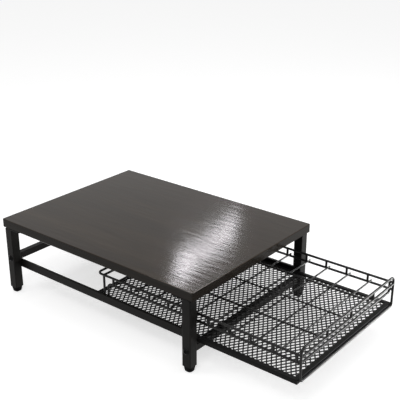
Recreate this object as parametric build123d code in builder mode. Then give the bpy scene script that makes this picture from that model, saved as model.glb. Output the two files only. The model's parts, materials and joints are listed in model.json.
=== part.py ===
"""Coffee machine stand with a sliding wire drawer for coffee pods.

A laminated board stands on four square legs. Two channels between the legs carry a drawer: a mitred
frame of steel angle with a mesh floor, and on it a rack of round wire that holds the pods in rows and
columns. Front is towards -Y, where the drawer comes out. The origin is on the floor, under the middle
of the whole object with the drawer drawn out by drawer_out.
"""
from build123d import *
from math import floor, hypot
import os

os.makedirs("parts", exist_ok=True)

# Board
board_width = 330.0
board_depth = 445.0
board_thickness = 16.0
board_corner = 2.0
board_edge = 0.8
stand_height = 145.0

# Legs, feet and the plates that hold the board
leg_size = 17.0
leg_wall = 1.2
leg_corner = 1.5
side_overhang = 0.0
end_overhang = 5.0
foot_height = 10.0
foot_top = 15.8
foot_bottom = 13.6
foot_round = 2.0
foot_stub = 9.0
foot_draft = 3.0
plate_size = 38.0
plate_thickness = 2.0
plate_corner = 4.0
screw_diameter = 4.0
screw_edge = 9.5
screw_cover = 5.0
screw_head = 8.0
screw_head_height = 2.4
screw_head_edge = 0.8

# Channels that the drawer runs in
runner_z = 48.1
runner_height = 14.7
runner_lip = 4.6
runner_sheet = 1.2
runner_bend = 0.8

# Cross rails and the bolts through the legs
rail_size = 12.0
rail_wall = 1.0
rail_corner = 1.2
rail_drop = 4.1
plug_length = 18.0
bolt_diameter = 6.0
bolt_grip = 14.0
bolt_head = 12.0
bolt_head_height = 3.4
bolt_socket = 4.0
bolt_socket_depth = 2.0

# Drawer frame and mesh floor
drawer_out = 182.4
drawer_inset = 1.5
drawer_length = 412.0
rim_height = 7.1
rim_width = 8.0
rim_sheet = 1.5
rim_bend = 1.0
mesh_sheet = 1.0
mesh_lap = 5.0
mesh_pitch_across = 34.0
mesh_pitch_along = 23.0
mesh_strand = 2.2

# Wire rack, with heights above the underside of the drawer frame
frame_wire = 4.0
rod_wire = 3.0
loop_height = 58.0
loop_bend = 9.0
loop_foot_bend = 5.0
front_bar_height = 44.0
lower_bar_height = 30.0
lower_bar_bend = 5.5
lower_bar_tip = 0.5
hoop_height = 47.0
hoop_bend = 9.0
side_rod_height = 34.0
side_rod_bend = 7.5
hoop_inset = 8.0
rear_post_inset = 23.0
side_rod_inset = 32.5
first_post = 4.4
row_pitch = 40.3
rod_lead = 6.5
column_pitch = 70.5
rod_overhang = 1.5
divider_overhang = 6.0

# Clearances
plug_gap = 0.1
bolt_hole_gap = 0.25
thread_gap = 0.05
rail_gap = 0.2
side_play = 1.3
slide_gap = 0.3
rack_gap = 0.4
weld_gap = 0.1
stop_gap = 0.5

# Stand: places that follow from the sizes above
stand_y = (drawer_out + frame_wire + weld_gap - drawer_inset - end_overhang) / 2
board_bottom = stand_height - board_thickness
leg_x = board_width / 2 - side_overhang - leg_size / 2
leg_y = board_depth / 2 - end_overhang - leg_size / 2
leg_inner_x = leg_x - leg_size / 2
leg_outer_x = leg_x + leg_size / 2
leg_bore = leg_size - 2 * leg_wall
leg_top = board_bottom - plate_thickness
front_face_y = stand_y - leg_y - leg_size / 2
rear_face_y = stand_y + leg_y + leg_size / 2
screw_reach = plate_size - leg_size / 2 - screw_edge
screw_length = plate_thickness + board_thickness - screw_cover
rail_bore = rail_size - 2 * rail_wall
front_rail_z = runner_z - rail_drop - rail_size / 2
rear_rail_z = runner_z + runner_height + rail_gap + rail_size / 2
bolt_length = leg_size + bolt_grip

# Drawer: places that follow from the sizes above
rim_x = leg_inner_x - runner_sheet - side_play
drawer_front = front_face_y + drawer_inset - drawer_out
drawer_rear = drawer_front + drawer_length
drawer_z = runner_z + runner_sheet + slide_gap
flange_top = drawer_z + rim_height
wire_radius = frame_wire / 2
rod_radius = rod_wire / 2
rack_x = leg_inner_x - runner_lip - rack_gap - wire_radius
loop_y = drawer_front - weld_gap - wire_radius
loop_z = drawer_z + loop_height
loop_foot_z = drawer_z + rim_height / 2
front_bar_z = drawer_z + front_bar_height
lower_bar_z = drawer_z + lower_bar_height
hoop_y = drawer_rear - hoop_inset
hoop_z = drawer_z + hoop_height
rear_post_y = drawer_rear - rear_post_inset
side_rod_y = drawer_rear - side_rod_inset
side_rod_z = drawer_z + side_rod_height
rod_z = side_rod_z + wire_radius + weld_gap + rod_radius
divider_z = rod_z + rod_wire + weld_gap

# Channels: they end at the backs of the rear legs, or behind the stop of a longer drawer
stop_y = drawer_rear + drawer_out + stop_gap
runner_end_y = max(rear_face_y, stop_y + runner_sheet)

# Rows and columns of pods
post_run = side_rod_y - side_rod_bend - drawer_front - first_post
post_count = floor(post_run / row_pitch) + 1
posts_y = [drawer_front + first_post + row_pitch * i for i in range(post_count)]
rods_y = [y - rod_lead for y in posts_y[1:]]
divider_count = floor(2 * (rack_x - wire_radius) / column_pitch)
dividers_x = [column_pitch * (i - (divider_count - 1) / 2) for i in range(divider_count)]

corners = {
    "front_left": (-1, -1),
    "front_right": (1, -1),
    "rear_left": (-1, 1),
    "rear_right": (1, 1),
}
sides = {"left": -1, "right": 1}
rails = {"front": (-1, front_rail_z), "rear": (1, rear_rail_z)}
across = (1, 0, 0)
along = (0, 1, 0)
upright = (0, 0, 1)


def finish(piece, name):
    """Name a finished piece and write it."""
    piece.part.label = name
    export_step(piece.part, f"parts/{name}.step")


def straight_wire(start, end, diameter, meets=()):
    """A straight length of round wire, cut back by the weld gap from each frame wire that it meets.

    Each meeting is a point on the other wire's axis and the direction of that axis.
    """
    run = Vector(*end) - Vector(*start)
    with BuildPart() as wire:
        with BuildSketch(Plane(origin=start, z_dir=run)):
            Circle(diameter / 2)
        extrude(amount=run.length)
        for point, axis in meets:
            with BuildSketch(Plane(origin=point, z_dir=axis)):
                Circle(wire_radius + weld_gap)
            extrude(amount=2 * frame_wire, both=True, mode=Mode.SUBTRACT)
    return wire


def bent_wire(points, bend, meets=()):
    """Frame wire along straight runs, joined by bends of one radius or of a radius for each."""
    with BuildPart() as wire:
        with BuildLine() as route:
            FilletPolyline(*points, radius=bend)
        with BuildSketch(Plane(origin=route.line @ 0, z_dir=route.line % 0)):
            Circle(wire_radius)
        sweep()
        for point, axis in meets:
            with BuildSketch(Plane(origin=point, z_dir=axis)):
                Circle(wire_radius + weld_gap)
            extrude(amount=2 * frame_wire, both=True, mode=Mode.SUBTRACT)
    return wire


# Board, with pilot holes for the screws that come up through the leg plates
screw_spots = []
for side_x, side_y in corners.values():
    corner_x = side_x * leg_x
    corner_y = stand_y + side_y * leg_y
    screw_spots.append((corner_x - side_x * screw_reach, corner_y))
    screw_spots.append((corner_x, corner_y - side_y * screw_reach))

with BuildPart() as top_board:
    with BuildSketch(Plane(origin=(0, stand_y, board_bottom))):
        RectangleRounded(board_width, board_depth, board_corner)
    extrude(amount=board_thickness)
    chamfer(top_board.faces().sort_by(Axis.Z)[-1].edges(), board_edge)
    chamfer(top_board.faces().sort_by(Axis.Z)[0].edges(), board_edge)
    with BuildSketch(Plane.XY.offset(board_bottom)):
        with Locations(*screw_spots):
            Circle(screw_diameter / 2 + thread_gap)
    extrude(amount=screw_length - plate_thickness + plug_gap, mode=Mode.SUBTRACT)
finish(top_board, "top_board")

# Each leg is a square tube with a plastic foot below and a plate above
for name, (side_x, side_y) in corners.items():
    x = side_x * leg_x
    y = stand_y + side_y * leg_y
    bolt_z = front_rail_z if side_y < 0 else rear_rail_z

    with BuildPart() as leg:
        with BuildSketch(Plane(origin=(x, y, foot_height))):
            RectangleRounded(leg_size, leg_size, leg_corner)
            Rectangle(leg_bore, leg_bore, mode=Mode.SUBTRACT)
        extrude(amount=leg_top - foot_height)
        with BuildSketch(Plane(origin=(x, y, bolt_z), z_dir=across)):
            Circle(bolt_diameter / 2 + bolt_hole_gap)
        extrude(amount=leg_size, both=True, mode=Mode.SUBTRACT)
    finish(leg, f"leg_{name}")

    with BuildPart() as foot:
        with BuildSketch(Plane(origin=(x, y, 0), x_dir=across, z_dir=(0, -1, 0))) as profile:
            with BuildLine():
                Polyline(
                    (0, 0),
                    (foot_bottom / 2, 0),
                    (foot_top / 2, foot_height),
                    (0, foot_height),
                    close=True,
                )
            make_face()
            fillet(profile.vertices().group_by(Axis.Y)[0].sort_by(Axis.X)[-1], foot_round)
        revolve(axis=Axis((x, y, 0), upright))
        with BuildSketch(Plane(origin=(x, y, foot_height))):
            Rectangle(leg_bore - 2 * plug_gap, leg_bore - 2 * plug_gap)
        extrude(amount=foot_stub, taper=foot_draft)
    finish(foot, f"foot_{name}")

    with BuildPart() as plate:
        inward = (plate_size - leg_size) / 2
        with BuildSketch(Plane.XY.offset(leg_top)):
            with Locations((x - side_x * inward, y - side_y * inward)):
                RectangleRounded(plate_size, plate_size, plate_corner)
            with Locations((x - side_x * screw_reach, y), (x, y - side_y * screw_reach)):
                Circle(screw_diameter / 2 + bolt_hole_gap, mode=Mode.SUBTRACT)
        extrude(amount=plate_thickness)
    finish(plate, f"leg_plate_{name}")

# Pan head screws that hold the plates to the board
with BuildPart() as screw:
    with BuildSketch(Plane.XY.offset(-screw_head_height)):
        Circle(screw_head / 2)
    extrude(amount=screw_head_height)
    chamfer(screw.faces().sort_by(Axis.Z)[0].edges(), screw_head_edge)
    with BuildSketch(Plane.XY):
        Circle(screw_diameter / 2)
    extrude(amount=screw_length)

with BuildPart() as board_screws:
    with Locations(*[(x, y, leg_top) for x, y in screw_spots]):
        add(screw.part)
finish(board_screws, "board_screws")

# Cross rails of square tube between the legs
bolt_places = []
plug_places = []
for name, (side_y, z) in rails.items():
    y = stand_y + side_y * leg_y
    with BuildPart() as rail:
        with BuildSketch(Plane(origin=(-leg_inner_x, y, z), z_dir=across)):
            RectangleRounded(rail_size, rail_size, rail_corner)
            Rectangle(rail_bore, rail_bore, mode=Mode.SUBTRACT)
        extrude(amount=2 * leg_inner_x)
    finish(rail, f"{name}_cross_rail")
    for side in sides.values():
        outside = Plane(origin=(side * leg_outer_x, y, z), x_dir=along, z_dir=(side, 0, 0))
        rail_end = Plane(origin=(side * leg_inner_x, y, z), x_dir=along, z_dir=(-side, 0, 0))
        bolt_places.append(outside.location)
        plug_places.append(rail_end.location)

# Threaded plugs in the ends of the cross rails
with BuildPart() as plug:
    with BuildSketch(Plane.XY):
        Rectangle(rail_bore - 2 * plug_gap, rail_bore - 2 * plug_gap)
        Circle(bolt_diameter / 2 + thread_gap, mode=Mode.SUBTRACT)
    extrude(amount=plug_length)

with BuildPart() as rail_plugs:
    with Locations(*plug_places):
        add(plug.part)
finish(rail_plugs, "rail_plugs")

# Button head bolts from the outside of each leg into the plugs
with BuildPart() as bolt:
    with BuildSketch(Plane.XZ):
        with BuildLine():
            TangentArc((0, bolt_head_height), (bolt_head / 2, 0), tangent=(1, 0))
            Polyline(
                (bolt_head / 2, 0),
                (bolt_diameter / 2, 0),
                (bolt_diameter / 2, -bolt_length),
                (0, -bolt_length),
                (0, bolt_head_height),
            )
        make_face()
    revolve(axis=Axis.Z)
    with BuildSketch(Plane.XY.offset(bolt_head_height)):
        RegularPolygon(bolt_socket / 2, 6, major_radius=False)
    extrude(amount=-bolt_socket_depth, mode=Mode.SUBTRACT)

with BuildPart() as rail_bolts:
    with Locations(*bolt_places):
        add(bolt.part)
finish(rail_bolts, "rail_bolts")

# Channels on the inner faces of the legs, open towards the drawer, with a stop near the rear end
with BuildPart() as runner_right:
    with BuildSketch(
        Plane(origin=(leg_inner_x, front_face_y, runner_z), x_dir=(-1, 0, 0), z_dir=along)
    ) as section:
        with BuildLine():
            Polyline(
                (0, 0),
                (runner_lip, 0),
                (runner_lip, runner_sheet),
                (runner_sheet, runner_sheet),
                (runner_sheet, runner_height - runner_sheet),
                (runner_lip, runner_height - runner_sheet),
                (runner_lip, runner_height),
                (0, runner_height),
                close=True,
            )
        make_face()
        fillet(section.vertices().group_by(Axis.X)[0], runner_bend)
    extrude(amount=runner_end_y - front_face_y)
    with BuildSketch(Plane(origin=(leg_inner_x, stop_y, runner_z), x_dir=(-1, 0, 0), z_dir=along)):
        with Locations(((runner_sheet + runner_lip) / 2, runner_height / 2)):
            Rectangle(runner_lip - runner_sheet, runner_height - 2 * runner_sheet)
    extrude(amount=runner_sheet)
finish(runner_right, "runner_right")

with BuildPart() as runner_left:
    mirror(runner_right.part, about=Plane.YZ)
finish(runner_left, "runner_left")

# Drawer frame: four lengths of steel angle, mitred at the corners, with the lip down on the outside
rim_corners = [
    Vector(-rim_x, drawer_front, drawer_z),
    Vector(rim_x, drawer_front, drawer_z),
    Vector(rim_x, drawer_rear, drawer_z),
    Vector(-rim_x, drawer_rear, drawer_z),
]
for i, name in enumerate(["front", "right", "rear", "left"]):
    start = rim_corners[i]
    end = rim_corners[(i + 1) % 4]
    forward = (end - start).normalized()
    inward = Vector(0, 0, 1).cross(forward)
    with BuildPart() as rim:
        with BuildSketch(Plane(origin=start, x_dir=inward, z_dir=forward)) as section:
            with BuildLine():
                Polyline(
                    (0, 0),
                    (rim_sheet, 0),
                    (rim_sheet, rim_height - rim_sheet),
                    (rim_width, rim_height - rim_sheet),
                    (rim_width, rim_height),
                    (0, rim_height),
                    close=True,
                )
            make_face()
            fillet(section.vertices().group_by(Axis.X)[0].sort_by(Axis.Y)[-1], rim_bend)
        extrude(amount=(end - start).length)
        split(bisect_by=Plane(origin=start, z_dir=forward - inward), keep=Keep.TOP)
        split(bisect_by=Plane(origin=end, z_dir=-forward - inward), keep=Keep.TOP)
    finish(rim, f"drawer_rim_{name}")

# Mesh floor: one sheet under the frame's flanges, with a diamond pattern of gaps between its strands
mesh_width = 2 * (rim_x - rim_width + mesh_lap)
mesh_length = drawer_length - 2 * (rim_width - mesh_lap)
gap_columns = round((mesh_width - 2 * mesh_lap) / mesh_pitch_across)
gap_rows = round((mesh_length - 2 * mesh_lap) / mesh_pitch_along)
pitch_x = (mesh_width - 2 * mesh_lap) / gap_columns
pitch_y = (mesh_length - 2 * mesh_lap) / gap_rows
gap_share = 1 - mesh_strand * hypot(pitch_x, pitch_y) / (pitch_x * pitch_y)
half_x = gap_share * pitch_x / 2
half_y = gap_share * pitch_y / 2
diamond = [(half_x, 0), (0, half_y), (-half_x, 0), (0, -half_y)]
with BuildPart() as mesh_floor:
    with BuildSketch(Plane(origin=(0, (drawer_front + drawer_rear) / 2, flange_top - rim_sheet))):
        Rectangle(mesh_width, mesh_length)
        with GridLocations(pitch_x, pitch_y, gap_columns, gap_rows):
            Polygon(*diamond, mode=Mode.SUBTRACT)
        with GridLocations(pitch_x, pitch_y, gap_columns - 1, gap_rows - 1):
            Polygon(*diamond, mode=Mode.SUBTRACT)
    extrude(amount=-mesh_sheet)
finish(mesh_floor, "mesh_floor")

# Front loop: a closed hoop of wire that is pulled to open the drawer, with its foot on the frame's lip
half_loop = bent_wire(
    [
        (0, loop_y, loop_foot_z),
        (rack_x, loop_y, loop_foot_z),
        (rack_x, loop_y, loop_z),
        (0, loop_y, loop_z),
    ],
    [loop_foot_bend, loop_bend],
)
with BuildPart() as front_loop:
    add(half_loop.part)
    mirror(half_loop.part, about=Plane.YZ)
finish(front_loop, "front_loop")

front_bar = straight_wire(
    (-rack_x, loop_y, front_bar_z),
    (rack_x, loop_y, front_bar_z),
    frame_wire,
    [((side * rack_x, loop_y, front_bar_z), upright) for side in sides.values()],
)
finish(front_bar, "front_bar")

with BuildPart() as front_links:
    with BuildSketch(Plane.XY.offset(front_bar_z)):
        with Locations(*[(x, loop_y) for x in dividers_x]):
            Circle(wire_radius)
    extrude(amount=loop_z - front_bar_z)
    for z in (front_bar_z, loop_z):
        with BuildSketch(Plane(origin=(-rack_x, loop_y, z), z_dir=across)):
            Circle(wire_radius + weld_gap)
        extrude(amount=2 * rack_x, mode=Mode.SUBTRACT)
finish(front_links, "front_links")

# Lower front bar, behind the loop, with its ends turned up against the side rods
lower_bar_x = rack_x - frame_wire - weld_gap
lower_bar_y = loop_y + frame_wire + weld_gap
lower_bar_end = side_rod_z + wire_radius
lower_bar = bent_wire(
    [
        (-lower_bar_x, lower_bar_y, lower_bar_end),
        (-lower_bar_x, lower_bar_y, lower_bar_z),
        (lower_bar_x, lower_bar_y, lower_bar_z),
        (lower_bar_x, lower_bar_y, lower_bar_end),
    ],
    min(lower_bar_bend, lower_bar_end - lower_bar_z - lower_bar_tip),
)
finish(lower_bar, "front_lower_bar")

# Top hoop: one wire round the left side, the back and the right side
top_hoop = bent_wire(
    [
        (-rack_x, loop_y, hoop_z),
        (-rack_x, hoop_y, hoop_z),
        (rack_x, hoop_y, hoop_z),
        (rack_x, loop_y, hoop_z),
    ],
    hoop_bend,
    [((side * rack_x, loop_y, hoop_z), upright) for side in sides.values()],
)
finish(top_hoop, "top_hoop")

# Rear bar between the sides of the hoop, over the rear posts
rear_bar_meets = []
for side in sides.values():
    rear_bar_meets.append(((side * rack_x, rear_post_y, hoop_z), along))
    rear_bar_meets.append(((side * rack_x, rear_post_y, hoop_z), upright))
rear_bar = straight_wire(
    (-rack_x, rear_post_y, hoop_z), (rack_x, rear_post_y, hoop_z), frame_wire, rear_bar_meets
)
finish(rear_bar, "rear_bar")

for name, side in sides.items():
    x = side * rack_x

    # Side rod, turned down at the rear to stand on the frame
    side_rod = bent_wire(
        [(x, loop_y, side_rod_z), (x, side_rod_y, side_rod_z), (x, side_rod_y, flange_top)],
        side_rod_bend,
        [((x, loop_y, side_rod_z), upright)],
    )
    finish(side_rod, f"side_rod_{name}")

    rear_post = straight_wire(
        (x, rear_post_y, flange_top),
        (x, rear_post_y, hoop_z),
        frame_wire,
        [((x, rear_post_y, hoop_z), along)],
    )
    finish(rear_post, f"rear_post_{name}")

    # Short posts from the side rod to the hoop
    with BuildPart() as side_posts:
        with BuildSketch(Plane.XY.offset(side_rod_z)):
            with Locations(*[(x, y) for y in posts_y]):
                Circle(wire_radius)
        extrude(amount=hoop_z - side_rod_z)
        for z in (side_rod_z, hoop_z):
            with BuildSketch(Plane(origin=(x, loop_y, z), z_dir=along)):
                Circle(wire_radius + weld_gap)
            extrude(amount=drawer_length, mode=Mode.SUBTRACT)
    finish(side_posts, f"side_posts_{name}")

# Row rods lie across on the side rods, each a little in front of a pair of short posts
row_rod_x = rack_x + rod_overhang
for i, y in enumerate(rods_y):
    row_rod = straight_wire((-row_rod_x, y, rod_z), (row_rod_x, y, rod_z), rod_wire)
    finish(row_rod, f"row_rod_{i + 1:02d}")

# Divider wires lie along on the row rods, one between each two columns of pods
divider_front_y = lower_bar_y + wire_radius + rack_gap
for i, x in enumerate(dividers_x):
    divider = straight_wire(
        (x, divider_front_y, divider_z),
        (x, rods_y[-1] + divider_overhang, divider_z),
        rod_wire,
    )
    finish(divider, f"divider_wire_{i + 1}")
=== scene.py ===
"""Coffee machine stand with a sliding wire drawer for coffee pods, dressed for rendering.

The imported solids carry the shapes, and this script gives them their materials. It replaces the
drawer's coarse mesh with the real, fine one and the round feet with square ones, and it adds the
weld beads of the wire rack and of the stand. Metres, +Z up, the front towards -Y.
"""
import json
import math

import bpy
from mathutils import Matrix, Vector, noise


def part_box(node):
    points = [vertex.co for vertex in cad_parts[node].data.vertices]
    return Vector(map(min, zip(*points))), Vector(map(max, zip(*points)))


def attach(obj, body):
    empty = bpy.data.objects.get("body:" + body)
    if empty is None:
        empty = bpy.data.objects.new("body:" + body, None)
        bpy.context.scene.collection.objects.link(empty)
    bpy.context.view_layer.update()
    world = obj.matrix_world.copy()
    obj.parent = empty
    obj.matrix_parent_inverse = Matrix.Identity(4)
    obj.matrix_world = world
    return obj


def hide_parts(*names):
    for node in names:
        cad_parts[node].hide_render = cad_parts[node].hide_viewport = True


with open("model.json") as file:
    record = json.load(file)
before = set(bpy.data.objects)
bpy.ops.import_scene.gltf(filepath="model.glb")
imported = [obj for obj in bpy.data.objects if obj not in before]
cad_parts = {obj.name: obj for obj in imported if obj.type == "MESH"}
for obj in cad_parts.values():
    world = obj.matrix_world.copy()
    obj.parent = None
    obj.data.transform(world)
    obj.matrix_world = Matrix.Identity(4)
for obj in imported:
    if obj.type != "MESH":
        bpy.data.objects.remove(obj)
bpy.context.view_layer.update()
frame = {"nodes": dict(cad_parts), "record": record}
nodes = frame["nodes"]
MM = 0.001


def corners(node):
    """The lowest and the highest corner of a node's box, in millimetres."""
    low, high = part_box(node)
    return low / MM, high / MM


def centre(node):
    """The middle of a node's box, in millimetres."""
    low, high = corners(node)
    return (low + high) / 2


# ---- Places of the drawer's wires, in millimetres ----
front_bar = centre("front_bar")
loop_low, loop_high = corners("front_loop")
hoop_high = corners("top_hoop")[1]
side_rod_high = corners("side_rod_right")[1]
posts_low, posts_high = corners("side_posts_right")
rod_low, rod_high = corners("row_rod_01")
rear_post = centre("rear_post_right")
row_rods = sorted(name for name in nodes if name.startswith("row_rod_"))
dividers = sorted(name for name in nodes if name.startswith("divider_wire_"))
WIRE_R = rear_post.x - corners("rear_post_right")[0].x
ROD_R = (rod_high.z - rod_low.z) / 2
RACK_X = rear_post.x
REAR_POST_Y = rear_post.y
FLANGE_TOP = corners("drawer_rim_right")[1].z
LOOP_Y = front_bar.y
LOOP_Z = loop_high.z - WIRE_R
LOOP_FOOT_Z = loop_low.z + WIRE_R
FRONT_BAR_Z = front_bar.z
LOWER_BAR_Y = centre("front_lower_bar").y
HOOP_Z = hoop_high.z - WIRE_R
SIDE_ROD_Y = side_rod_high.y - WIRE_R
SIDE_ROD_Z = side_rod_high.z - WIRE_R
DIVIDER_Z = centre(dividers[0]).z
ROW_RODS_Y = [centre(name).y for name in row_rods]
DIVIDERS_X = [centre(name).x for name in dividers]
FIRST_POST_Y = posts_low.y + WIRE_R
ROW_PITCH = (posts_high.y - WIRE_R - FIRST_POST_Y) / len(row_rods)
POSTS_Y = [FIRST_POST_Y + ROW_PITCH * i for i in range(len(row_rods) + 1)]
SIDES = (-1, 1)

# ---- Places of the stand's legs and channels, in millimetres ----
LEG_CORNERS = ("front_left", "front_right", "rear_left", "rear_right")
leg_low, leg_high = corners("leg_rear_right")
LEG_X = centre("leg_rear_right").x
LEGS_Y = (centre("leg_front_right").y, centre("leg_rear_right").y)
LEG_HALF = (leg_high.x - leg_low.x) / 2
LEG_BOTTOM = leg_low.z
LEG_TOP = leg_high.z
runner_low, runner_high = corners("runner_right")
RUNNER_EDGES_Z = (runner_low.z, runner_high.z)


# ---- Node trees ----
class Tree:
    """The node tree of a material or world, emptied, with short calls to add and link nodes."""

    def __init__(self, owner, output):
        owner.use_nodes = True
        self.nodes = owner.node_tree.nodes
        self.links = owner.node_tree.links
        self.nodes.clear()
        self.out = self.add(output)

    def add(self, kind, **settings):
        """A new node with these settings."""
        node = self.nodes.new(kind)
        for key, value in settings.items():
            setattr(node, key, value)
        return node

    def link(self, source, output, target, entry):
        """A link between two nodes' sockets, each given by name or by number."""
        self.links.new(source.outputs[output], target.inputs[entry])

    def calculate(self, operation, source, output, number=None):
        """A calculation on the source's value, with a second number where it takes one."""
        node = self.add("ShaderNodeMath", operation=operation)
        self.link(source, output, node, 0)
        if number is not None:
            node.inputs[1].default_value = number
        return node


class Finish(Tree):
    """A material with a Principled shader, drawn from noise in the object's own coordinates."""

    NOISE_LOW = 0.3
    NOISE_HIGH = 0.7

    def __init__(self, name):
        self.material = bpy.data.materials.new(name)
        super().__init__(self.material, "ShaderNodeOutputMaterial")
        self.shader = self.add("ShaderNodeBsdfPrincipled")
        self.coords = self.add("ShaderNodeTexCoord")
        self.link(self.shader, "BSDF", self.out, "Surface")

    def place(self, scale=(1, 1, 1)):
        """Object coordinates, scaled."""
        mapping = self.add("ShaderNodeMapping")
        mapping.inputs["Scale"].default_value = scale
        self.link(self.coords, "Object", mapping, "Vector")
        return mapping

    def noise(self, place, scale, detail, roughness, distortion=0.0, output="Vector"):
        """Noise at the place that a node gives."""
        node = self.add("ShaderNodeTexNoise")
        self.link(place, output, node, "Vector")
        node.inputs["Scale"].default_value = scale
        node.inputs["Detail"].default_value = detail
        node.inputs["Roughness"].default_value = roughness
        node.inputs["Distortion"].default_value = distortion
        return node

    def spread(self, source, low, high, start=NOISE_LOW, end=NOISE_HIGH):
        """A number from low to high as the source goes from start to end."""
        node = self.add("ShaderNodeMapRange")
        self.link(source, 0, node, "Value")
        node.inputs["From Min"].default_value = start
        node.inputs["From Max"].default_value = end
        node.inputs["To Min"].default_value = low
        node.inputs["To Max"].default_value = high
        return node

    def ramp(self, source, stops):
        """Colours along the source's value: stops are (position, (r, g, b))."""
        node = self.add("ShaderNodeValToRGB")
        self.link(source, 0, node, "Fac")
        elements = node.color_ramp.elements
        while len(elements) < len(stops):
            elements.new(0.5)
        for element, (position, colour) in zip(elements, stops):
            element.position = position
            element.color = (*colour, 1.0)
        return node

    def multiplied(self, source, output):
        """The source's colour, to be multiplied by input B."""
        node = self.add("ShaderNodeMix", data_type="RGBA", blend_type="MULTIPLY")
        self.link(source, output, node, "A")
        return node

    def paint(self, cloud, dark, light, start=NOISE_LOW, end=NOISE_HIGH):
        """The base colour, from dark to light as the cloud goes from start to end."""
        colour = self.ramp(cloud, [(start, dark), (end, light)])
        self.link(colour, "Color", self.shader, "Base Color")

    def roughen(self, source, low, high):
        """The shader's roughness, from low to high with the noise."""
        self.link(self.spread(source, low, high), "Result", self.shader, "Roughness")

    def shine(self, specular):
        """How much the surface mirrors, the same all over."""
        self.shader.inputs["Specular IOR Level"].default_value = specular

    def bump(self, height, strength, distance, below=None):
        """Relief from the source's value, on top of another relief if one is given."""
        node = self.add("ShaderNodeBump")
        node.inputs["Strength"].default_value = strength
        node.inputs["Distance"].default_value = distance
        self.link(height, 0, node, "Height")
        if below is not None:
            self.link(below, "Normal", node, "Normal")
        self.link(node, "Normal", self.shader, "Normal")
        return node


# ---- Materials ----
def grey(level):
    """A neutral colour."""
    return (level, level, level)


BOARD_BANDS = [
    (0.30, (0.0165, 0.0098, 0.0048)),
    (0.52, (0.0230, 0.0142, 0.0072)),
    (0.72, (0.0310, 0.0200, 0.0108)),
]
BOARD_STREAKS = [(0.34, grey(0.55)), (0.62, grey(1.0))]
STREAKS_SHARE = 0.75
# Painted shade: this tint darkens the board's side faces and turns them bluer
SIDE_SHADE_TINT = (0.50, 0.62, 0.88)
TOP_SPECULAR = 0.145
EDGE_SPECULAR = 0.09
END_FACING = 0.6
SIDE_FACING = 0.4


def laminate():
    """Dark wood-grain laminate: bands, streaks, ripples and pores that run along the board, and
    along the edge band at its ends. The side faces carry painted shade, darker and bluer than the
    top, and they mirror less."""
    m = Finish("board_laminate_grain")
    facing = m.add("ShaderNodeSeparateXYZ")
    m.link(m.coords, "Normal", facing, "Vector")
    along_y = m.calculate("ABSOLUTE", facing, "Y")
    at_end = m.calculate("GREATER_THAN", along_y, "Value", END_FACING)
    along_z = m.calculate("ABSOLUTE", facing, "Z")
    at_side = m.calculate("LESS_THAN", along_z, "Value", SIDE_FACING)

    def grain(across, along, detail, roughness, distortion=0.0):
        """Noise drawn out along Y, or along X on the front and rear edges."""
        choice = m.add("ShaderNodeMix", data_type="VECTOR")
        m.link(at_end, "Value", choice, "Factor")
        m.link(m.place((across, along, across)), "Vector", choice, "A")
        m.link(m.place((along, across, across)), "Vector", choice, "B")
        return m.noise(choice, 1.0, detail, roughness, distortion, output="Result")

    bands = grain(across=26, along=1.6, detail=4.0, roughness=0.55, distortion=0.6)
    streaks = grain(across=420, along=9, detail=3.0, roughness=0.6, distortion=0.2)
    ripples = grain(across=140, along=16, detail=1.5, roughness=0.45, distortion=0.2)
    pores = grain(across=900, along=30, detail=2.0, roughness=0.6)

    streaked = m.multiplied(m.ramp(bands, BOARD_BANDS), "Color")
    streaked.inputs["Factor"].default_value = STREAKS_SHARE
    m.link(m.ramp(streaks, BOARD_STREAKS), "Color", streaked, "B")
    # Painted shade: the side faces' colour is multiplied by the darker, bluer tint
    side_shaded = m.multiplied(streaked, "Result")
    side_shaded.inputs["B"].default_value = (*SIDE_SHADE_TINT, 1)
    m.link(at_side, "Value", side_shaded, "Factor")
    m.link(side_shaded, "Result", m.shader, "Base Color")

    m.roughen(streaks, low=0.145, high=0.10)
    specular = m.spread(at_side, TOP_SPECULAR, EDGE_SPECULAR, start=0.0, end=1.0)
    m.link(specular, "Result", m.shader, "Specular IOR Level")
    relief = m.bump(ripples, strength=0.22, distance=0.0009)
    m.bump(pores, strength=0.25, distance=0.0002, below=relief)
    return m.material


COAT_DARK = 0.82
COAT_LIGHT = 1.22
COAT_SMOOTHER = 0.05
COAT_ROUGHER = 0.06


def powder_coat(name, colour, roughness, specular, grain=0.10):
    """Black powder coat: a slight orange peel, a finer grain, and a sheen that varies a little."""
    m = Finish(name)
    cloud = m.noise(m.place(), scale=22.0, detail=3.0, roughness=0.5)
    peel = m.noise(m.place(), scale=900.0, detail=1.0, roughness=0.4)
    fleck = m.noise(m.place(), scale=2600.0, detail=2.0, roughness=0.6)
    dark = tuple(COAT_DARK * c for c in colour)
    light = tuple(COAT_LIGHT * c for c in colour)
    m.paint(cloud, dark, light, start=0.32, end=0.68)
    m.roughen(cloud, low=roughness - COAT_SMOOTHER, high=roughness + COAT_ROUGHER)
    m.shine(specular)
    relief = m.bump(peel, strength=grain, distance=0.0004)
    m.bump(fleck, strength=grain, distance=0.0001, below=relief)
    return m.material


def moulded_plastic():
    """Matt black plastic of the feet, with a fine spark-eroded grain."""
    m = Finish("foot_plastic_grain")
    grain = m.noise(m.place(), scale=1900.0, detail=3.0, roughness=0.6)
    cloud = m.noise(m.place(), scale=60.0, detail=2.0, roughness=0.5)
    m.paint(cloud, dark=grey(0.0010), light=grey(0.0018))
    m.roughen(grain, low=0.44, high=0.60)
    m.shine(0.03)
    m.bump(grain, strength=0.25, distance=0.0002)
    return m.material


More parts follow.
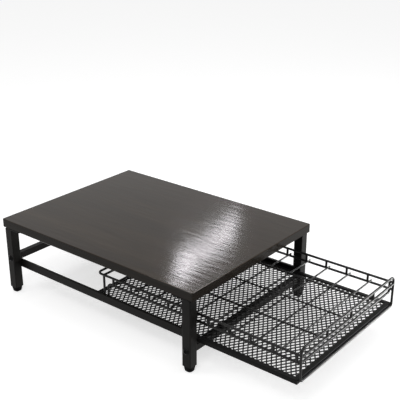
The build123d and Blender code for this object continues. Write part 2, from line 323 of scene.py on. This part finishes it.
def black_oxide():
    """Blackened steel of the bolts, smoother than the paint, with turned marks."""
    m = Finish("bolt_steel_black")
    cloud = m.noise(m.place(), scale=160.0, detail=3.0, roughness=0.6)
    turned = m.noise(m.place((2200, 260, 260)), scale=1.0, detail=1.0, roughness=0.5)
    m.paint(cloud, dark=grey(0.0010), light=grey(0.0020))
    m.roughen(cloud, low=0.18, high=0.28)
    m.shine(0.07)
    m.bump(turned, strength=0.12, distance=0.0002)
    return m.material


def zinc_plate():
    """Zinc plated steel of the hidden screws and plugs: dull silver with a cloudy bloom."""
    m = Finish("hidden_steel_zinc")
    m.shader.inputs["Metallic"].default_value = 1.0
    cloud = m.noise(m.place(), scale=240.0, detail=4.0, roughness=0.6)
    m.paint(cloud, dark=(0.36, 0.36, 0.37), light=(0.52, 0.52, 0.54))
    m.roughen(cloud, low=0.28, high=0.46)
    m.bump(cloud, strength=0.08, distance=0.0003)
    return m.material


STAND_BLACK = (0.0062, 0.0058, 0.0052)
WIRE_BLACK = (0.0050, 0.0048, 0.0046)
MESH_BLACK = (0.0052, 0.0050, 0.0048)
FRAME_BLACK = (0.0060, 0.0059, 0.0058)

materials = {
    "board_laminate": laminate(),
    "stand_paint": powder_coat("stand_paint_coat", STAND_BLACK, roughness=0.40, specular=0.08),
    "wire_paint": powder_coat(
        "wire_paint_coat", WIRE_BLACK, roughness=0.30, specular=0.21, grain=0.07),
    "mesh_paint": powder_coat(
        "mesh_paint_coat", MESH_BLACK, roughness=0.42, specular=0.13, grain=0.12),
    "bolt_steel": black_oxide(),
    "hidden_steel": zinc_plate(),
    "foot_plastic": moulded_plastic(),
}
# The drawer's frame has the slot of the wires, but a duller coat.
frame_coat = powder_coat("frame_paint_coat", FRAME_BLACK, roughness=0.45, specular=0.07)
for row in frame["record"]["subparts"]:
    of_frame = row["node"].startswith("drawer_rim_")
    finish = frame_coat if of_frame else materials[row["material_slot"]]
    for entry in nodes[row["node"]].material_slots:
        entry.material = finish


# ---- Pieces made here ----
def new_piece(name, verts, faces, slot, body, smooth=False):
    """A mesh piece, in millimetres, that rides on a body."""
    mesh = bpy.data.meshes.new(name)
    mesh.from_pydata([Vector(v) * MM for v in verts], [], faces)
    mesh.materials.append(materials[slot])
    mesh.validate()
    mesh.update()
    if smooth:
        mesh.shade_smooth()
    piece = bpy.data.objects.new(name, mesh)
    bpy.context.scene.collection.objects.link(piece)
    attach(piece, body)
    return piece


# ---- Mesh floor: expanded metal with a diamond pattern, one sheet under the drawer's frame ----
mesh_low, mesh_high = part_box("mesh_floor")
# The diamonds' pitch across and along the drawer, and the width of a strand, in millimetres
PITCH_ACROSS = 13.0
PITCH_ALONG = 8.7
STRAND = 2.1


def mesh_floor():
    """Diamond cells that share their corners, each with a diamond hole in it. The half cells
    along the sheet's edges have no hole."""
    low, high = mesh_low / MM, mesh_high / MM
    size_x, size_y = high.x - low.x, high.y - low.y
    columns = round(size_x / PITCH_ACROSS)
    rows = round(size_y / PITCH_ALONG)
    pitch_x, pitch_y = size_x / columns, size_y / rows
    share = 1 - STRAND * math.hypot(pitch_x, pitch_y) / (pitch_x * pitch_y)
    hole_x, hole_y = share * pitch_x / 2, share * pitch_y / 2
    verts, faces, index = [], [], {}

    def point(i, j):
        """Where the half steps i and j lead to."""
        return low.x + i * pitch_x / 2, low.y + j * pitch_y / 2

    def corner(i, j):
        """The vertex at these half steps, shared by the cells that meet there."""
        if (i, j) not in index:
            index[(i, j)] = len(verts)
            verts.append((*point(i, j), high.z))
        return index[(i, j)]

    for i in range(2 * columns + 1):
        for j in range(2 * rows + 1):
            if (i + j) % 2 == 0:
                continue
            around = [(i + 1, j), (i, j + 1), (i - 1, j), (i, j - 1)]
            inside = [p for p in around if 0 <= p[0] <= 2 * columns and 0 <= p[1] <= 2 * rows]
            ring = [corner(*p) if p in inside else None for p in around]
            if len(inside) == 4:
                x, y = point(i, j)
                hole = []
                for dx, dy in ((hole_x, 0), (0, hole_y), (-hole_x, 0), (0, -hole_y)):
                    hole.append(len(verts))
                    verts.append((x + dx, y + dy, high.z))
                for k in range(4):
                    n = (k + 1) % 4
                    faces.append((ring[k], ring[n], hole[n], hole[k]))
            else:
                outside = ring.index(None)
                faces.append(tuple(ring[(outside + step) % 4] for step in (1, 2, 3)))
    piece = new_piece("fine_mesh_floor", verts, faces, "mesh_paint", "drawer")
    thick = piece.modifiers.new("sheet", "SOLIDIFY")
    thick.thickness = (high.z - low.z) * MM
    thick.offset = -1.0
    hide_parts("mesh_floor")


mesh_floor()


# ---- Weld beads: how far each reaches along X, Y and Z, in millimetres ----
POST_BEAD = (1.9, 2.3, 0.7)
ROW_ROD_BEAD = (1.5, 1.5, 0.6)
LOOP_CORNER_BEAD = (1.6, 1.6, 2.2)
FLANGE_BEAD = (2.5, 2.5, 0.8)
REAR_BAR_BEAD = (0.7, 2.2, 2.2)
LOWER_BAR_BEAD = (0.7, 1.8, 2.2)
LOOP_FOOT_BEAD = (4.0, 0.8, 0.8)
DIVIDER_BEAD = (1.4, 1.4, 0.5)
LINK_BEAD = (2.3, 1.9, 0.7)
PLATE_SIDE_BEAD = (1.3, 6.0, 1.3)
PLATE_END_BEAD = (6.0, 1.3, 1.3)
RUNNER_BEAD = (0.9, 4.5, 0.9)
# Where the beads in the loop's corners and along its foot sit, in millimetres
LOOP_CORNER_SHIFT = 1.2
LOOP_FOOT_BEADS_X = (35.0, 105.0)
LOOP_FOOT_BEAD_DROP = 1.5
# The bead's mesh, and the noise that makes it uneven
BEAD_RINGS = 5
BEAD_SIDES = 8
BEAD_SWELL = 0.16
BEAD_NOISE = 1.7
BEAD_SKEW = 0.3


def bead_shape(spot, reach, seed):
    """A lump of weld metal, uneven, as a closed mesh of rings."""
    verts, faces = [], []
    origin = Vector(spot)
    for r in range(1, BEAD_RINGS):
        lift = math.pi * r / BEAD_RINGS
        for s in range(BEAD_SIDES):
            turn = 2 * math.pi * s / BEAD_SIDES
            across = math.sin(lift)
            way = Vector((across * math.cos(turn), across * math.sin(turn), math.cos(lift)))
            drift = Vector((seed, BEAD_SKEW * seed, 0))
            swell = 1.0 + BEAD_SWELL * noise.noise(way * BEAD_NOISE + drift)
            outward = Vector((way.x * reach[0], way.y * reach[1], way.z * reach[2]))
            verts.append(origin + outward * swell)
    top, bottom = len(verts), len(verts) + 1
    verts.append(origin + Vector((0, 0, reach[2])))
    verts.append(origin - Vector((0, 0, reach[2])))
    last = (BEAD_RINGS - 2) * BEAD_SIDES
    for start in range(0, last, BEAD_SIDES):
        for s in range(BEAD_SIDES):
            here, there = start + s, start + (s + 1) % BEAD_SIDES
            faces.append((here, here + BEAD_SIDES, there + BEAD_SIDES, there))
    for s in range(BEAD_SIDES):
        n = (s + 1) % BEAD_SIDES
        faces.append((top, s, n))
        faces.append((bottom, last + n, last + s))
    return verts, faces


def bead_piece(name, beads, slot, body):
    """All the beads of one body: each is a spot and how far the bead reaches each way."""
    verts, faces = [], []
    for seed, (spot, reach) in enumerate(beads):
        more, rings = bead_shape(spot, reach, seed)
        start = len(verts)
        verts.extend(more)
        faces.extend(tuple(start + v for v in face) for face in rings)
    new_piece(name, verts, faces, slot, body, smooth=True)


def rack_welds():
    """Beads where the wires of the drawer's rack meet each other and the drawer's frame."""
    beads = []
    for side in SIDES:
        x = side * RACK_X
        inner_x = x - side * WIRE_R
        for y in POSTS_Y:
            beads.append(((x, y, HOOP_Z - WIRE_R), POST_BEAD))
            beads.append(((x, y, SIDE_ROD_Z + WIRE_R), POST_BEAD))
        for y in ROW_RODS_Y:
            beads.append(((x, y, SIDE_ROD_Z + WIRE_R), ROW_ROD_BEAD))
        for z in (FRONT_BAR_Z, HOOP_Z, SIDE_ROD_Z):
            spot = (x - side * LOOP_CORNER_SHIFT, LOOP_Y + LOOP_CORNER_SHIFT, z)
            beads.append((spot, LOOP_CORNER_BEAD))
        for y in (REAR_POST_Y, SIDE_ROD_Y):
            beads.append(((x, y, FLANGE_TOP), FLANGE_BEAD))
        beads.append(((inner_x, REAR_POST_Y, HOOP_Z), REAR_BAR_BEAD))
        beads.append(((inner_x, LOWER_BAR_Y, SIDE_ROD_Z), LOWER_BAR_BEAD))
        for foot_x in LOOP_FOOT_BEADS_X:
            spot = (side * foot_x, LOOP_Y + WIRE_R, LOOP_FOOT_Z - LOOP_FOOT_BEAD_DROP)
            beads.append((spot, LOOP_FOOT_BEAD))
    for x in DIVIDERS_X:
        for y in ROW_RODS_Y:
            beads.append(((x, y, DIVIDER_Z - ROD_R), DIVIDER_BEAD))
        for z in (FRONT_BAR_Z + WIRE_R, LOOP_Z - WIRE_R):
            beads.append(((x, LOOP_Y, z), LINK_BEAD))
    bead_piece("rack_weld_beads", beads, "wire_paint", "drawer")


def stand_welds():
    """Fillets of weld where the plates and the channels meet the legs."""
    beads = []
    for side in SIDES:
        inner_x = side * (LEG_X - LEG_HALF)
        for y, inward in zip(LEGS_Y, SIDES[::-1]):
            beads.append(((inner_x, y, LEG_TOP), PLATE_SIDE_BEAD))
            beads.append(((side * LEG_X, y + inward * LEG_HALF, LEG_TOP), PLATE_END_BEAD))
            for z in RUNNER_EDGES_Z:
                beads.append(((inner_x, y, z), RUNNER_BEAD))
    bead_piece("stand_weld_beads", beads, "stand_paint", "stand")


rack_welds()
stand_welds()


# ---- Feet: square plugs in the legs' ends, tapered, with rounded corners and a rounded edge ----
# Widths at the leg and at the bottom, radii of the corners and of the lower edge, in millimetres
FOOT_TOP = 16.8
FOOT_BOTTOM = 14.4
FOOT_CORNER = 5.5
FOOT_ROUND = 2.5
# The stub inside the leg's tube: widths at its root and at its tip, and radius of its corners
STUB_SIZE = 14.4
STUB_TIP = 13.4
STUB_CORNER = 1.0
CORNER_STEPS = 6
ROUND_STEPS = 4
SHARP_ANGLE = math.radians(40)


def rounded_square(middle, size, corner, z):
    """The points of a level square with rounded corners, counter-clockwise."""
    reach = (size / 2 - corner) * math.sqrt(2)
    points = []
    for quarter in range(4):
        out = math.pi / 2 * (quarter + 0.5)
        for step in range(CORNER_STEPS + 1):
            turn = math.pi / 2 * (quarter + step / CORNER_STEPS)
            points.append((
                middle.x + reach * math.cos(out) + corner * math.cos(turn),
                middle.y + reach * math.sin(out) + corner * math.sin(turn),
                z,
            ))
    return points


def square_foot(corner):
    """A foot as a stack of rounded squares, in place of the round one of the solids."""
    node = "foot_" + corner
    middle = centre(node)
    low, high = corners(node)
    verts = []
    for step in range(ROUND_STEPS + 1):
        turn = math.pi / 2 * step / ROUND_STEPS
        inset = FOOT_ROUND * (1 - math.sin(turn))
        lift = FOOT_ROUND * (1 - math.cos(turn))
        size = FOOT_BOTTOM - 2 * inset
        verts += rounded_square(middle, size, FOOT_CORNER - inset, low.z + lift)
    verts += rounded_square(middle, FOOT_TOP, FOOT_CORNER, LEG_BOTTOM)
    verts += rounded_square(middle, STUB_SIZE, STUB_CORNER, LEG_BOTTOM)
    verts += rounded_square(middle, STUB_TIP, STUB_CORNER, high.z)
    around = 4 * (CORNER_STEPS + 1)
    last = len(verts) - around
    faces = [tuple(reversed(range(around))), tuple(range(last, len(verts)))]
    for start in range(0, last, around):
        for k in range(around):
            here, there = start + k, start + (k + 1) % around
            faces.append((here, there, there + around, here + around))
    piece = new_piece(
        "square_foot_" + corner, verts, faces, "foot_plastic", "stand", smooth=True)
    piece.data.set_sharp_from_angle(angle=SHARP_ANGLE)
    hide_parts(node)


for leg_corner in LEG_CORNERS:
    square_foot(leg_corner)


# ---- Stage, light and camera, in metres ----
FLOOR_REACH = 6.0
FLOOR_GREY = 0.62
FLOOR_GLOW = 0.60
WORLD_LIGHT = 0.50
WORLD_SEEN = 1.0
WHITE = (1, 1, 1)


def seen_rays(tree):
    """1 for the rays that show the background: from the camera, reflected or let through."""
    paths = tree.add("ShaderNodeLightPath")
    result, output = paths, "Is Camera Ray"
    for kind in ("Is Glossy Ray", "Is Transmission Ray"):
        either = tree.calculate("MAXIMUM", result, output)
        tree.link(paths, kind, either, 1)
        result, output = either, "Value"
    return result


def stage_floor():
    """A wide pale floor, with a glow that only the seen rays get."""
    signs = ((-1, -1), (1, -1), (1, 1), (-1, 1))
    mesh = bpy.data.meshes.new("floor")
    verts = [(x * FLOOR_REACH, y * FLOOR_REACH, 0) for x, y in signs]
    mesh.from_pydata(verts, [], [(0, 1, 2, 3)])
    floor = bpy.data.objects.new("floor", mesh)
    bpy.context.scene.collection.objects.link(floor)
    material = bpy.data.materials.new("floor_white")
    tree = Tree(material, "ShaderNodeOutputMaterial")
    diffuse = tree.add("ShaderNodeBsdfDiffuse")
    diffuse.inputs["Color"].default_value = (*grey(FLOOR_GREY), 1)
    glow = tree.add("ShaderNodeEmission")
    glow.inputs["Color"].default_value = (*WHITE, 1)
    strength = tree.calculate("MULTIPLY", seen_rays(tree), "Value", FLOOR_GLOW)
    tree.link(strength, "Value", glow, "Strength")
    both = tree.add("ShaderNodeAddShader")
    tree.link(diffuse, "BSDF", both, 0)
    tree.link(glow, "Emission", both, 1)
    tree.link(both, "Shader", tree.out, "Surface")
    mesh.materials.append(material)


def stage_world():
    """A white background that lights the scene less than it shows."""
    world = bpy.data.worlds.new("studio")
    bpy.context.scene.world = world
    tree = Tree(world, "ShaderNodeOutputWorld")
    back = tree.add("ShaderNodeBackground")
    back.inputs["Color"].default_value = (*WHITE, 1)
    level = tree.add("ShaderNodeMapRange")
    level.inputs["To Min"].default_value = WORLD_LIGHT
    level.inputs["To Max"].default_value = WORLD_SEEN
    tree.link(seen_rays(tree), "Value", level, "Value")
    tree.link(level, "Result", back, "Strength")
    tree.link(back, "Background", tree.out, "Surface")


def lamp(name, place, target, size, power, run=None, colour=WHITE):
    """A rectangular soft box that faces the target, its long side along run if that is given."""
    data = bpy.data.lights.new(name, "AREA")
    data.shape = "RECTANGLE"
    data.size, data.size_y = size
    data.energy = power
    data.color = colour
    light = bpy.data.objects.new(name, data)
    bpy.context.scene.collection.objects.link(light)
    light.location = place
    back = (Vector(place) - Vector(target)).normalized()
    if run is None:
        turn = (-back).to_track_quat("-Z", "Y")
    else:
        long_side = Vector(run).normalized()
        back = (back - long_side * back.dot(long_side)).normalized()
        turn = Matrix((long_side, back.cross(long_side), back)).transposed().to_quaternion()
    light.rotation_euler = turn.to_euler()


stage_floor()
stage_world()

# The window lamps make the streak on the board. The last three light the drawer's front and the
# board's edges.
MIDDLE = (0, 0, 0.1)
STREAK_RUN = (0.259, -0.016, -0.057)
STREAK_TINT = (1.0, 0.96, 1.0)
lamp("key", (-1.3, -0.6, 1.6), MIDDLE, size=(1.0, 1.0), power=12)
lamp("top", (0.2, 0.1, 2.0), MIDDLE, size=(1.6, 1.6), power=9)
lamp("window", (0.81, 0.615, 0.658), (0.0, -0.07, 0.145), size=(0.29, 0.04), power=0.7,
     run=STREAK_RUN, colour=STREAK_TINT)
lamp("window_end", (0.70, 0.62, 0.68), (-0.12, -0.07, 0.145), size=(0.06, 0.05), power=0.12,
     run=STREAK_RUN, colour=STREAK_TINT)
lamp("front", (1.2, -1.15, 0.085), (0.0, -0.25, 0.08), size=(0.5, 0.1), power=23)
lamp("front_edge", (0.8, -0.8, 0.92), (-0.12, -0.13, 0.145), size=(0.2, 0.12), power=1.0)
lamp("left_edge", (-0.84, 0.65, 1.09), (-0.165, -0.1, 0.145), size=(0.2, 0.2), power=1.2)

# The camera as it was fitted to the photo: angles in degrees, focus in the photo's pixels
CAMERA_AT = (-0.9894, -0.8143, 0.7314)
CAMERA_YAW = 51.007
CAMERA_PITCH = 22.186
CAMERA_FOCUS = 814.6
PHOTO_WIDTH = 400
SENSOR_WIDTH = 36.0
NEAR_CLIP = 0.05
FAR_CLIP = 50.0
camera_data = bpy.data.cameras.new("camera")
camera_data.sensor_width = SENSOR_WIDTH
camera_data.lens = SENSOR_WIDTH * CAMERA_FOCUS / PHOTO_WIDTH
camera_data.clip_start = NEAR_CLIP
camera_data.clip_end = FAR_CLIP
camera = bpy.data.objects.new("camera", camera_data)
bpy.context.scene.collection.objects.link(camera)
camera.location = CAMERA_AT
camera.rotation_euler = (math.radians(90 - CAMERA_PITCH), 0, -math.radians(CAMERA_YAW))
bpy.context.scene.camera = camera
bpy.context.scene.view_settings.view_transform = "Standard"
